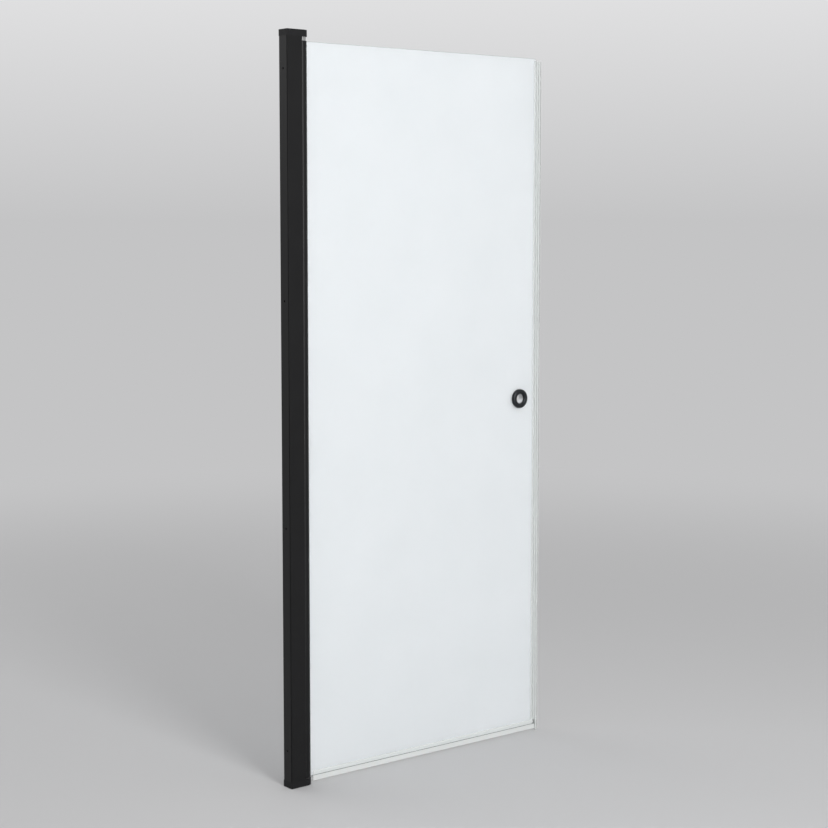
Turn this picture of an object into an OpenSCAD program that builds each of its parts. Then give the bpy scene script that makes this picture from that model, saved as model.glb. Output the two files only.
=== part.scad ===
// Pivoting shower door: a jamb at the hinge side, a frosted glass leaf in a turning stile on a
// rising hinge, a round pull and a magnetic strike that closes the far side.
// Sizes are in millimetres. X runs from the hinge side to the strike side, Y runs from the front
// to the wet side and Z is up. The origin is midway between the sides, level with the jamb's foot.

/* [Opening] */
// Clear width that the door fills, from the hinge side to the strike side
opening_w = 900; // [700:10:1000]
// Height of the hinge jamb with its two end blocks
frame_h = 2000; // [1700:10:2200]

/* [Turning stile] */
// Outer diameter of the turning stile that holds the glass
stile_d = 30; // [28:1:34]
// Radius of the bore that runs through the stile
stile_bore_r = 5.5; // [5:0.1:6]
// Wall between the bore and the glass pocket
stile_web = 1.9; // [1.5:0.1:2.2]
// Thickness of the stile's round outer wall
stile_wall = 2; // [1.6:0.1:2.4]
// Thickness of the cap on the stile's upper end
stile_cap_t = 2; // [1.5:0.5:3]
// Gap between the bottom block and the stile
foot_gap = 1.5; // [1:0.1:3]
// Free height between the stile and the top block
head_gap = 11; // [10:0.5:16]

/* [Hinge jamb] */
// Distance from the hinge side of the opening to the jamb's lip
jamb_face_w = 47.5; // [46:0.5:56]
// How far the jamb's faces stand proud of the stile
side_cover = 4; // [4:0.5:6]
// Distance from the jamb's lip to the pivot axis
pivot_past_lip = 9; // [8:0.5:10]
// Thickness of the jamb's flanges
jamb_wall = 2.2; // [1.8:0.1:2.6]
// Gap behind the jamb's edge, taken up when it is set plumb on the channel
wall_gap = 1; // [0.5:0.5:4]
// Clearance round the stile in the jamb's seat
seat_gap = 0.6; // [0.5:0.1:0.8]
// Thickness of the jamb's round seat
seat_wall = 1.8; // [1.5:0.1:2.4]
// Radius on the jamb's outer lips
lip_round = 1.2; // [0.5:0.1:1.6]

/* [Wall channel] */
// Thickness of the channel's web and flanges
channel_t = 2; // [1.6:0.1:2.4]
// How far the channel's flanges reach from its back
channel_reach = 26; // [20:1:27]
// Radius of the holes in the channel's web that it is screwed up through
wall_hole_r = 2.75; // [2:0.25:3.25]
// Number of those holes
wall_hole_count = 4; // [3:1:6]
// Distance from each end of the frame to the nearest of those holes
wall_hole_margin = 100; // [60:10:160]

/* [End blocks] */
// Thickness of the block over the stile
top_block_t = 17; // [15:0.5:22]
// Thickness of the block under the stile
bottom_block_t = 18; // [18:0.5:22]
// Chamfer on the blocks' outer edges
block_chamfer = 0.8; // [0.4:0.1:1.2]
// Depth of the plugs that enter the jamb
plug_h = 16; // [10:1:24]
// Wall of the hollow plug
plug_wall = 2.2; // [1.6:0.1:3]
// Thread radius of the block screws
block_screw_r = 1.75; // [1.5:0.05:1.9]
// Length of the block screws
block_screw_l = 32; // [26:1:40]

/* [Rising hinge] */
// How far the door rises when it is fully open
lift_rise = 6; // [4:0.5:7]
// Opening angle at which the door is fully open
swing_max = 100; // [85:5:105]
// Number of ramps on each lift cam
cam_ramps = 3; // [2:1:3]
// Thickness of each cam behind its ramps
cam_base_t = 3; // [2:0.5:3.5]
// Inner radius of the ramps
ramp_inner_r = 7; // [6.5:0.5:9]
// Radius of the steel spindle
spindle_r = 3.5; // [3:0.1:3.8]
// How far the lower cam's sleeve reaches into the stile
sleeve_l = 32; // [24:1:45]
// How far the top bush stands inside the stile's wall line
collar_inset = 2; // [1.5:0.5:3]
// Length of the bush's stem in the stile
stem_l = 40; // [30:1:50]
// Width of the key that stops the bush and the lower cam turning
key_w = 4; // [3:0.5:5]

/* [Glass] */
// Thickness of the glass
glass_t = 6; // [5:1:6]
// Height of the glass edge over the stile's lower end
glass_foot = 0.5; // [0.5:0.5:2]
// Radius of the glass's outer corners
glass_corner_r = 6; // [1:0.5:10]
// Arris ground on the glass's edges
glass_arris = 0.7; // [0.3:0.1:1]
// Thickness of the gasket on each side of the glass
gasket_t = 1; // [0.8:0.1:1.2]

/* [Strike side] */
// Depth of the seal and strike section across the glass
strike_d = 10; // [9:0.5:14]
// Width of the strike with its tape, from the side of the opening to its front
strike_w = 10.9; // [10:0.1:14]
// Width of the closing seal beyond the glass
seal_w = 8.7; // [8:0.1:12]
// Gap between the closing seal and the strike
strike_gap = 0.4; // [0.3:0.1:1]
// Length of the seal's legs on the glass
seal_leg_l = 6.5; // [5:0.5:10]
// Thickness of the seal's legs and walls
seal_t = 1.1; // [0.9:0.1:1.4]
// Length of the stop behind the closing seal
stop_l = 8; // [4:1:10]
// Distance from the top of the glass to the top of the closing seal
seal_head = 6; // [1:1:10]

/* [Bottom seal] */
// Height of the seal's skirt over the level of the jamb's foot
drip_floor_gap = 4; // [3:0.5:8]
// Height of the seal's legs on the glass
drip_leg_h = 12; // [8:1:16]
// Thickness of the seal's legs and skirt
drip_t = 1; // [0.8:0.1:1.3]
// Distance from the pivot axis to the start of the seal
drip_start = 24; // [23.5:0.5:30]
// Reach of the fin that throws the water back on the wet side
drip_fin_reach = 4; // [3:0.5:9]

/* [Pull knob] */
// Outer diameter of the pull
knob_d = 55; // [45:1:65]
// Diameter of the finger hole through the pull
finger_d = 28; // [22:1:30]
// How far each ring stands off its gasket
knob_t = 10; // [8:0.5:14]
// Radius on the front edges of the rings
knob_round = 5; // [2:0.5:5.5]
// Depth of the sleeve's socket in the front ring
knob_front_socket = 2; // [1.5:0.5:4]
// Wall of the sleeve that joins the two rings
knob_sleeve_wall = 2.5; // [2:0.1:3]
// Radial room between the sleeve and the hole in the glass
knob_liner = 2; // [1.5:0.1:3]
// Thickness of the gaskets under the rings
knob_gasket_t = 1; // [0.6:0.1:1.5]
// Height of the pull's centre over the level of the jamb's foot
knob_z = 995; // [850:5:1200]
// Distance from the glass's free edge to the pull's centre
knob_edge = 61; // [45:1:90]

/* [Hidden] */
$fn = 64;

// Clearances: assembled plugs, sliding keys, turning bearings, parts that pass each other
fit_gap = 0.1;
slide_gap = 0.3;
running_gap = 0.05;
pass_gap = 0.35;
// Overshoot of every cutting shape
cut = 1;

// Frame lines along X
hinge_wall_x = -opening_w / 2;
strike_wall_x = opening_w / 2;
lip_x = hinge_wall_x + jamb_face_w;
pivot_x = lip_x + pivot_past_lip;
glass_free_x = strike_wall_x - strike_w - strike_gap - seal_w;

// Frame lines along Z
top_block_z = frame_h - top_block_t;
stile_foot_z = bottom_block_t + foot_gap;
stile_cap_z = top_block_z - head_gap;
stile_head_z = stile_cap_z - stile_cap_t;
glass_foot_z = stile_foot_z + glass_foot;
glass_head_z = stile_cap_z;

// Sections of the stile and the jamb
stile_r = stile_d / 2;
jamb_half = stile_r + side_cover;
seat_r = stile_r + seat_gap;
pocket_half = glass_t / 2 + gasket_t;
pocket_u = stile_bore_r + stile_web;
pocket_mouth_u = sqrt(stile_r * stile_r - pocket_half * pocket_half);
glass_seat_u = pocket_u + gasket_t;
hollow_in_r = pocket_u;
hollow_out_r = stile_r - stile_wall;
hollow_from = 62;
hollow_to = 172;
lug_room_deg = 6;

// The jamb's web, screw ports and seal grooves
jamb_inner = jamb_half - jamb_wall;
web_t = 1.8;
web_gap = 2;
web_x = hinge_wall_x + channel_reach + web_gap;
nose_t = 4.5;
port_boss_r = 4.2;
port_x = (web_x + web_t + lip_x - nose_t) / 2;
port_y = jamb_inner - port_boss_r + 0.6;
chord_y = sqrt(seat_r * seat_r - pivot_past_lip * pivot_past_lip);
groove_y = chord_y + 2.9;
groove_mouth_half = 0.7;
groove_half = 1.4;
groove_lip = 1.2;
groove_deep = 2;
wiper_tip_deg = 118;
wiper_t = 1.1;

// The wall channel, its holes and the screws that lock the jamb to it
channel_half = jamb_inner - slide_gap;
channel_inner = channel_half - channel_t;
wall_hole_pitch = (frame_h - 2 * wall_hole_margin) / (wall_hole_count - 1);
fixing_x = hinge_wall_x + channel_reach / 2 + wall_gap;
fixing_margin = 150;
fixing_count = 3;
fixing_pitch = (frame_h - 2 * fixing_margin) / (fixing_count - 1);
fixing_r = 1.95;
fixing_head_r = 3.7;
fixing_l = jamb_wall + slide_gap + channel_t + 3;

// The end blocks: a D in plan, with its round nose level with the stile
nose_x = pivot_x + stile_r - jamb_half;
block_pocket_r = stile_r - collar_inset + slide_gap;
pocket_roof = 2;
pocket_floor = 4;
plug_x = hinge_wall_x + channel_t + slide_gap;
plug_l = channel_reach - channel_t - 2;
plug_half = channel_inner - slide_gap;
tongue_x = web_x + web_t + slide_gap;
tongue_l = pivot_x - seat_r - seat_wall - slide_gap - tongue_x;
tongue_half = 6;
block_hole_r = 2.1;
block_head_r = 3.7;

// The rising hinge: one pitch for both cams
cam_pitch = lift_rise * 360 / swing_max;
ramp_deg = 360 / cam_ramps;
ramp_rise = cam_pitch / cam_ramps;
ramp_steps = 16;
ramp_relief_deg = 4;
cam_gap = 0.3;
cam_foot_z = pocket_floor;
ramp_z = cam_foot_z + cam_base_t;
key_reach = 2;
collar_r = stile_r - collar_inset;
ramp_outer_r = collar_r - 0.4;
collar_foot_z = stile_cap_z + slide_gap;
collar_head_z = frame_h - pocket_roof - lift_rise - 1;
lug_h = 12;
spindle_socket = 2;

// The closing seal and the strike
magnet_gap = 0.2;
magnet_t = 5.4;
strike_half = strike_d / 2;
seal_foot_z = glass_foot_z + drip_leg_h + 0.5;
seal_head_z = glass_head_z - seal_head;
seal_face_x = glass_free_x + seal_w;
strike_face_x = strike_wall_x - strike_w;
tape_t = 1;
strike_plug_t = 2;
strike_tongue_l = 8;
stop_t = 1.6;

// The bottom seal
drip_end = 7.5;
drip_half = glass_t / 2 + drip_t;
drip_base_z = glass_foot_z - 1.2;
skirt_lean = 1.5;
fin_drop = 8;

// The pull
knob_x = glass_free_x - knob_edge;
finger_r = finger_d / 2;
knob_r = knob_d / 2;
knob_sleeve_r = finger_r + knob_sleeve_wall;
glass_hole_r = knob_sleeve_r + knob_liner;
knob_gasket_r = knob_r - 3;
knob_seat_y = glass_t / 2 + knob_gasket_t;
knob_back_socket = knob_t - 3;
knob_screw_r = 1.5;
knob_screw_y = knob_seat_y + 3;

// Finishes
satin_black = [0.14, 0.14, 0.145];
moulded_black = [0.12, 0.12, 0.125];
knob_black = [0.17, 0.18, 0.19];
bearing_grey = [0.70, 0.70, 0.70];
steel = [0.66, 0.67, 0.69];
frosted = [0.90, 0.93, 0.95, 0.75];
clear_pvc = [0.80, 0.84, 0.84, 0.5];
magnet_grey = [0.74, 0.76, 0.76];
tape_white = [0.93, 0.93, 0.93];

// A flat outline given in Y and Z, drawn out along X
module along_x(x, l) {
    translate([x, 0, 0]) rotate([90, 0, 90]) linear_extrude(l) children();
}

// A flat outline given in X and Y, drawn out along Z
module along_z(z, h) {
    translate([0, 0, z]) linear_extrude(h) children();
}

// A shape at the pivot axis
module at_pivot(z = 0) {
    translate([pivot_x, 0, z]) children();
}

// The corner left outside a quarter circle, for rounding an edge
module corner_waste(r) {
    difference() {
        square(r + cut);
        circle(r);
    }
}

// A ring between two angles
module ring_sector(r_in, r_out, from, to) {
    far = 2 * r_out;
    mid = (from + to) / 2;
    difference() {
        intersection() {
            circle(r_out);
            polygon([
                [0, 0],
                [far * cos(from), far * sin(from)],
                [far * cos(mid), far * sin(mid)],
                [far * cos(to), far * sin(to)]
            ]);
        }
        circle(r_in);
    }
}

// A countersunk screw along Z, head up, with its head flush with z = 0
module countersunk_screw(shank_r, head_r, l) {
    head_h = head_r - shank_r;
    cross_w = head_r * 0.32;
    difference() {
        union() {
            translate([0, 0, -l]) cylinder(r = shank_r, h = l);
            translate([0, 0, -head_h]) cylinder(r1 = shank_r, r2 = head_r, h = head_h);
        }
        for (turn = [0, 90]) {
            rotate([0, 0, turn]) translate([-head_r * 0.6, -cross_w / 2, -head_h * 0.6])
                cube([head_r * 1.2, cross_w, head_h]);
        }
    }
}

// The hole for such a screw
module countersunk_hole(hole_r, head_r, l) {
    head_h = head_r - hole_r;
    translate([0, 0, -l]) cylinder(r = hole_r, h = l + cut);
    translate([0, 0, -head_h]) cylinder(r1 = hole_r, r2 = head_r, h = head_h);
    cylinder(r = head_r, h = cut);
}

// Where the channel is screwed up
module wall_hole_places() {
    for (i = [0:wall_hole_count - 1]) {
        translate([hinge_wall_x, 0, wall_hole_margin + i * wall_hole_pitch]) children();
    }
}

// Where the screws that lock the jamb to the channel go, on the wet side
module fixing_places() {
    for (i = [0:fixing_count - 1]) {
        translate([fixing_x, jamb_half, fixing_margin + i * fixing_pitch])
            rotate([-90, 0, 0]) children();
    }
}

// Where the block screws go, one in each port
module port_places() {
    for (side = [-1, 1]) {
        translate([port_x, side * port_y, 0]) children();
    }
}

module channel_section() {
    difference() {
        translate([hinge_wall_x, -channel_half]) square([channel_reach, 2 * channel_half]);
        translate([hinge_wall_x + channel_t, -channel_inner])
            square([channel_reach, 2 * channel_inner]);
    }
}

module wall_channel() {
    color(satin_black)
    difference() {
        along_z(bottom_block_t, top_block_z - bottom_block_t) channel_section();
        wall_hole_places() rotate([0, 90, 0])
            translate([0, 0, -cut]) cylinder(r = wall_hole_r, h = channel_t + 2 * cut);
        fixing_places() translate([0, 0, -fixing_l]) cylinder(r = fixing_r, h = fixing_l);
    }
}

// One half of the jamb's section, on the positive side of Y
module jamb_half_section() {
    translate([hinge_wall_x + wall_gap, jamb_inner])
        square([jamb_face_w - wall_gap, jamb_wall]);
    translate([web_x, 0]) square([web_t, jamb_half]);
    translate([lip_x - nose_t, chord_y - 3]) square([nose_t, jamb_half - chord_y + 3]);
    translate([port_x, port_y]) circle(port_boss_r);
}

module jamb_half_cuts() {
    translate([port_x, port_y]) circle(block_screw_r);
    translate([lip_x - groove_lip - groove_deep, groove_y - groove_half])
        square([groove_deep, 2 * groove_half]);
    translate([lip_x - groove_lip - cut, groove_y - groove_mouth_half])
        square([groove_lip + 2 * cut, 2 * groove_mouth_half]);
    translate([lip_x - lip_round, jamb_half - lip_round]) corner_waste(lip_round);
}

module jamb_section() {
    difference() {
        union() {
            jamb_half_section();
            mirror([0, 1]) jamb_half_section();
            intersection() {
                translate([pivot_x, 0]) circle(seat_r + seat_wall);
                translate([hinge_wall_x, -jamb_half]) square([jamb_face_w, 2 * jamb_half]);
            }
        }
        translate([pivot_x, 0]) circle(seat_r);
        jamb_half_cuts();
        mirror([0, 1]) jamb_half_cuts();
    }
}

module hinge_jamb() {
    color(satin_black)
    difference() {
        along_z(bottom_block_t, top_block_z - bottom_block_t) jamb_section();
        fixing_places() countersunk_hole(fixing_r + fit_gap, fixing_head_r, jamb_wall + cut);
    }
}

// The wiper that closes the gap beside the stile: a foot in the groove and a lip at the stile
module jamb_seal_section() {
    tip_r = stile_r + pass_gap;
    tip = [pivot_x + tip_r * cos(wiper_tip_deg), tip_r * sin(wiper_tip_deg)];
    back = [pivot_x + (tip_r + wiper_t) * cos(wiper_tip_deg - 2),
            (tip_r + wiper_t) * sin(wiper_tip_deg - 2)];
    translate([lip_x - groove_lip - groove_deep + fit_gap, groove_y - groove_half + fit_gap])
        square([groove_deep - 2 * fit_gap, 2 * (groove_half - fit_gap)]);
    translate([lip_x - groove_lip - 2 * fit_gap, groove_y - groove_mouth_half + fit_gap])
        square([groove_lip + 2 * fit_gap, 2 * (groove_mouth_half - fit_gap)]);
    polygon([
        [lip_x, groove_y - groove_mouth_half],
        tip,
        back,
        [lip_x + wiper_t, groove_y + groove_mouth_half],
        [lip_x, groove_y + groove_mouth_half]
    ]);
}

module jamb_seal_back() {
    color(moulded_black)
    along_z(bottom_block_t, top_block_z - bottom_block_t) jamb_seal_section();
}

module jamb_seal_front() {
    mirror([0, 1, 0]) jamb_seal_back();
}

module jamb_fixing_screws() {
    color(satin_black)
    fixing_places() countersunk_screw(fixing_r, fixing_head_r, fixing_l);
}

// The D of an end block: straight from its flat back, round at the nose, chamfered at its far face
module block_body(t) {
    c = block_chamfer;
    along_x(hinge_wall_x, nose_x - hinge_wall_x) polygon([
        [-jamb_half, 0], [jamb_half, 0], [jamb_half, t - c],
        [jamb_half - c, t], [-jamb_half + c, t], [-jamb_half, t - c]
    ]);
    translate([nose_x, 0, 0]) rotate_extrude() polygon([
        [0, 0], [jamb_half, 0], [jamb_half, t - c], [jamb_half - c, t], [0, t]
    ]);
}

// The plug in the wall channel and the tongue behind the seat, both below z = 0
module block_plugs() {
    difference() {
        translate([plug_x, -plug_half, -plug_h]) cube([plug_l, 2 * plug_half, plug_h + cut]);
        for (side = [-1, 1]) {
            translate([plug_x + plug_wall, side * plug_half / 2, 0])
                translate([0, -plug_half / 2 + plug_wall, -plug_h - cut])
                cube([plug_l - 2 * plug_wall, plug_half - 2 * plug_wall, plug_h + cut]);
        }
    }
    translate([tongue_x, -tongue_half, -plug_h])
        cube([tongue_l, 2 * tongue_half, plug_h + cut]);
}

// The keyway shape of the bush and the lower cam, on the side away from the glass
module key_section(r, w) {
    translate([-r - key_reach, -w / 2]) square([key_reach + r / 2, w]);
}

// A round pocket with its keyway, opening at z = 0 and going up
module keyed_pocket(h) {
    translate([0, 0, -cut]) linear_extrude(h + cut) {
        circle(block_pocket_r);
        key_section(block_pocket_r, key_w + 2 * slide_gap);
    }
}

// The top block as it stands over its own lower face
module top_bearing_block() {
    color(moulded_black)
    translate([0, 0, top_block_z])
    difference() {
        union() {
            block_body(top_block_t);
            block_plugs();
        }
        translate([pivot_x, 0, 0]) keyed_pocket(top_block_t - pocket_roof);
        port_places() translate([0, 0, top_block_t])
            countersunk_hole(block_hole_r, block_head_r, top_block_t + cut);
    }
}

module top_block_screws() {
    color(satin_black)
    port_places() translate([0, 0, frame_h])
        countersunk_screw(block_screw_r, block_head_r, block_screw_l);
}

// The bottom block is the same D upside down, with its own pocket for the lift cams
module bottom_bearing_block() {
    color(moulded_black)
    difference() {
        translate([0, 0, bottom_block_t]) mirror([0, 0, 1]) union() {
            block_body(bottom_block_t);
            block_plugs();
        }
        at_pivot(bottom_block_t) mirror([0, 0, 1])
            keyed_pocket(bottom_block_t - pocket_floor);
        at_pivot(pocket_floor - spindle_socket) cylinder(r = spindle_r, h = spindle_socket + cut);
        port_places() mirror([0, 0, 1])
            countersunk_hole(block_hole_r, block_head_r, bottom_block_t + cut);
    }
}

module bottom_block_screws() {
    color(satin_black)
    port_places() mirror([0, 0, 1])
        countersunk_screw(block_screw_r, block_head_r, block_screw_l);
}

module bottom_spindle() {
    tip = 0.8;
    foot_z = pocket_floor - spindle_socket;
    shank_l = stile_foot_z + sleeve_l - 2 - foot_z;
    color(steel)
    at_pivot(foot_z) {
        cylinder(r = spindle_r, h = shank_l - tip);
        translate([0, 0, shank_l - tip]) cylinder(r1 = spindle_r, r2 = spindle_r - tip, h = tip);
    }
}

// A ramp round the axis between two flat ends: its face falls from rise to 0 as the angle grows.
// Its flat back is at z = back, under the face with up = 1 and over it with up = 0.
module ramp(r_in, r_out, span, rise, back, up) {
    n = ramp_steps;
    slope = rise / ramp_deg;
    points = [
        for (i = [0:n]) let (a = span * i / n, face = rise - slope * a)
            for (r = [r_in, r_out], z = up == 1 ? [back, face] : [face, back])
                [r * cos(a), r * sin(a), z]
    ];
    // Corners of a step: inner low, inner high, outer low, outer high
    walls = [
        for (i = [0:n - 1]) let (b = 4 * i)
            for (f = [
                [b, b + 2, b + 4], [b + 2, b + 6, b + 4],
                [b + 1, b + 5, b + 3], [b + 3, b + 5, b + 7],
                [b, b + 4, b + 1], [b + 1, b + 4, b + 5],
                [b + 2, b + 3, b + 6], [b + 3, b + 7, b + 6]
            ]) f
    ];
    e = 4 * n;
    ends = [[0, 1, 2], [1, 3, 2], [e, e + 2, e + 1], [e + 1, e + 2, e + 3]];
    polyhedron(points, concat(walls, ends));
}

// Three ramps in a ring, each ending in a step that the door can't close past
module lower_lift_cam() {
    color(bearing_grey)
    at_pivot(ramp_z)
    difference() {
        union() {
            translate([0, 0, -cam_base_t]) {
                cylinder(r = block_pocket_r - fit_gap, h = cam_base_t);
                linear_extrude(cam_base_t) key_section(block_pocket_r - fit_gap, key_w);
            }
            for (i = [0:cam_ramps - 1]) {
                rotate([0, 0, i * ramp_deg])
                    ramp(ramp_inner_r, ramp_outer_r, ramp_deg - 0.01, ramp_rise, -0.5, 1);
            }
        }
        translate([0, 0, -cam_base_t - cut]) cylinder(r = spindle_r, h = cam_base_t + 2 * cut);
    }
}

// The same ramps upside down, under a flange that carries the stile
module upper_lift_cam() {
    under_z = ramp_z + cam_gap;
    flange_t = stile_foot_z - under_z - ramp_rise;
    color(bearing_grey)
    at_pivot(under_z)
    difference() {
        union() {
            translate([0, 0, ramp_rise]) {
                cylinder(r = collar_r, h = flange_t);
                cylinder(r = stile_bore_r, h = flange_t + sleeve_l);
                translate([0, 0, flange_t - 0.5]) linear_extrude(lug_h + 0.5) stile_lugs();
            }
            for (i = [0:cam_ramps - 1]) {
                rotate([0, 0, i * ramp_deg]) ramp(ramp_inner_r, ramp_outer_r,
                    ramp_deg - ramp_relief_deg, ramp_rise, ramp_rise + 0.5, 0);
            }
        }
        translate([0, 0, -cut])
            cylinder(r = spindle_r + running_gap, h = ramp_rise + flange_t + sleeve_l + 2 * cut);
    }
}

// The two hollows of the stile and the lugs that enter them
module stile_hollows() {
    ring_sector(hollow_in_r, hollow_out_r, hollow_from, hollow_to);
    mirror([0, 1]) ring_sector(hollow_in_r, hollow_out_r, hollow_from, hollow_to);
}

module stile_lugs() {
    in_r = hollow_in_r + 2 * fit_gap;
    out_r = hollow_out_r - 2 * fit_gap;
    from = hollow_from + lug_room_deg;
    to = hollow_to - lug_room_deg;
    ring_sector(in_r, out_r, from, to);
    mirror([0, 1]) ring_sector(in_r, out_r, from, to);
}

module stile_section() {
    difference() {
        circle(stile_r);
        circle(stile_bore_r);
        stile_hollows();
        translate([pocket_u, -pocket_half]) square([stile_r, 2 * pocket_half]);
    }
}

module pivot_stile() {
    color(satin_black)
    at_pivot(stile_foot_z) linear_extrude(stile_head_z - stile_foot_z) stile_section();
}

// The glass and its gasket pass through the cap's slot
module stile_end_cap() {
    color(moulded_black)
    at_pivot(stile_head_z)
    difference() {
        union() {
            cylinder(r = stile_r, h = stile_cap_t);
            translate([0, 0, -lug_h]) linear_extrude(lug_h + stile_cap_t / 2) stile_lugs();
        }
        translate([0, 0, -lug_h - cut])
            cylinder(r = stile_bore_r, h = lug_h + stile_cap_t + 2 * cut);
        translate([pocket_u, -pocket_half, -cut])
            cube([stile_r, 2 * pocket_half, stile_cap_t + 2 * cut]);
    }
}

// The door turns on its stem and lifts it, while its key keeps it from turning
module top_pivot_bush() {
    edge = 0.6;
    collar_h = collar_head_z - collar_foot_z;
    stem_r = stile_bore_r - running_gap;
    color(bearing_grey)
    at_pivot(collar_foot_z) {
        cylinder(r = collar_r, h = collar_h - edge);
        translate([0, 0, collar_h - edge])
            cylinder(r1 = collar_r, r2 = collar_r - edge, h = edge);
        linear_extrude(collar_h - edge) key_section(collar_r, key_w);
        translate([0, 0, -stem_l]) cylinder(r = stem_r, h = stem_l + 1);
        translate([0, 0, -stem_l - edge]) cylinder(r1 = stem_r - edge, r2 = stem_r, h = edge);
    }
}

module glazing_gasket() {
    end_u = pocket_mouth_u - 2 * fit_gap;
    color(moulded_black)
    at_pivot(glass_foot_z) linear_extrude(glass_head_z - glass_foot_z) difference() {
        translate([pocket_u, -pocket_half]) square([end_u - pocket_u, 2 * pocket_half]);
        translate([glass_seat_u, -glass_t / 2]) square([stile_d, glass_t]);
    }
}

// The leaf: an outline with round free corners, cut to a section with ground arrises
module glass_panel() {
    x0 = pivot_x + glass_seat_u;
    w = glass_free_x - x0;
    h = glass_head_z - glass_foot_z;
    r = glass_corner_r;
    half = glass_t / 2;
    a = glass_arris;
    color(frosted)
    difference() {
        intersection() {
            translate([x0, 0, glass_foot_z]) rotate([90, 0, 0])
            translate([0, 0, -half]) linear_extrude(glass_t) {
                square([w - r, h]);
                translate([0, r]) square([w, h - 2 * r]);
                translate([w - r, r]) circle(r);
                translate([w - r, h - r]) circle(r);
            }
            along_z(glass_foot_z, h) translate([x0, 0]) polygon([
                [0, -half], [w - a, -half], [w, a - half],
                [w, half - a], [w - a, half], [0, half]
            ]);
            along_x(x0, w) translate([0, glass_foot_z]) polygon([
                [-half, a], [a - half, 0], [half - a, 0], [half, a],
                [half, h - a], [half - a, h], [a - half, h], [-half, h - a]
            ]);
        }
        at_knob() translate([0, 0, -half - cut]) cylinder(r = glass_hole_r, h = glass_t + 2 * cut);
    }
}

// U on the glass's edge with a box for the magnet
module closing_seal() {
    half = glass_t / 2;
    box_x = glass_free_x + seal_t;
    color(clear_pvc)
    along_z(seal_foot_z, seal_head_z - seal_foot_z)
    difference() {
        union() {
            translate([glass_free_x - seal_leg_l, -half - seal_t])
                square([seal_leg_l + seal_t, glass_t + 2 * seal_t]);
            translate([glass_free_x, -strike_half]) square([seal_w, strike_d]);
        }
        translate([glass_free_x - seal_leg_l - cut, -half]) square([seal_leg_l + cut, glass_t]);
        translate([box_x, seal_t - strike_half])
            square([seal_w - 2 * seal_t, strike_d - 2 * seal_t]);
    }
}

module door_magnet() {
    color(magnet_grey)
    translate([seal_face_x - seal_t - magnet_t, seal_t + magnet_gap - strike_half, seal_foot_z + 2])
        cube([magnet_t, strike_d - 2 * (seal_t + magnet_gap), seal_head_z - seal_foot_z - 4]);
}

// A box for the fixed magnet, with a stop that reaches behind the closed seal
module strike_section() {
    difference() {
        translate([strike_face_x, -strike_half]) square([strike_w - tape_t, strike_d]);
        translate([strike_face_x + seal_t, seal_t - strike_half])
            square([magnet_t + magnet_gap, strike_d - 2 * seal_t]);
    }
    translate([strike_face_x - stop_l, strike_half + pass_gap])
        square([stop_l + strike_w - tape_t, stop_t]);
    translate([strike_face_x + seal_t, strike_half - seal_t / 2])
        square([strike_w - tape_t - seal_t, seal_t / 2 + pass_gap + stop_t / 2]);
}

module strike_profile() {
    color(clear_pvc)
    along_z(strike_plug_t, seal_head_z - 2 * strike_plug_t) strike_section();
}

module strike_magnet() {
    color(magnet_grey)
    translate([strike_face_x + seal_t, seal_t + magnet_gap - strike_half, strike_tongue_l + 2])
        cube([magnet_t, strike_d - 2 * (seal_t + magnet_gap),
              seal_head_z - 2 * (strike_tongue_l + 2)]);
}

module strike_tape() {
    color(tape_white)
    translate([strike_wall_x - tape_t, 1 - strike_half, strike_plug_t])
        cube([tape_t, strike_d - 2, seal_head_z - 2 * strike_plug_t]);
}

// Plugs that close the strike at both ends, each with a tongue in the magnet's box
module strike_end_plugs() {
    color(clear_pvc)
    for (end = [0, 1]) {
        translate([0, 0, end * seal_head_z]) mirror([0, 0, end]) {
            translate([strike_face_x, -strike_half, 0])
                cube([strike_w - tape_t, strike_d, strike_plug_t]);
            translate([strike_face_x + seal_t + fit_gap, seal_t + fit_gap - strike_half, 0])
                cube([magnet_t - fit_gap, strike_d - 2 * (seal_t + fit_gap), strike_tongue_l]);
        }
    }
}

// Two legs on the glass and a fin on the wet side end with the glass. The bridge under it and
// the skirt go on below the closing seal.
module drip_seal() {
    half = glass_t / 2;
    top = glass_foot_z + drip_leg_h;
    foot = drip_floor_gap;
    root = drip_base_z + 0.5;
    x0 = pivot_x + drip_start;
    color(clear_pvc) {
        along_x(x0, glass_free_x - x0) {
            difference() {
                translate([-drip_half, drip_base_z]) square([2 * drip_half, top - drip_base_z]);
                translate([-half, glass_foot_z]) square([glass_t, drip_leg_h + cut]);
            }
            polygon([
                [drip_half - drip_t, root],
                [drip_half + drip_fin_reach - drip_t, drip_base_z - fin_drop],
                [drip_half + drip_fin_reach, drip_base_z - fin_drop],
                [drip_half, root]
            ]);
        }
        along_x(x0, glass_free_x + drip_end - x0) {
            translate([-drip_half, drip_base_z])
                square([2 * drip_half, glass_foot_z - drip_base_z]);
            polygon([
                [-drip_half, root], [skirt_lean - drip_half, foot],
                [drip_t - drip_half + skirt_lean, foot], [drip_t - drip_half, root]
            ]);
        }
    }
}

// The pull's axis, with z towards the front
module at_knob() {
    translate([knob_x, 0, knob_z]) rotate([90, 0, 0]) children();
}

// A ring with round front edges and a socket that takes the sleeve
module knob_ring(socket) {
    r = knob_round;
    w = knob_r - finger_r;
    translate([0, 0, knob_seat_y])
    difference() {
        rotate_extrude() {
            translate([finger_r, 0]) square([w, knob_t - r]);
            translate([finger_r + r, 0]) square([w - 2 * r, knob_t]);
            translate([finger_r + r, knob_t - r]) circle(r);
            translate([knob_r - r, knob_t - r]) circle(r);
        }
        translate([0, 0, -cut])
            cylinder(r = knob_sleeve_r + fit_gap, h = socket + cut);
    }
}

module knob_front_ring() {
    color(knob_black) at_knob() knob_ring(knob_front_socket);
}

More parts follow.
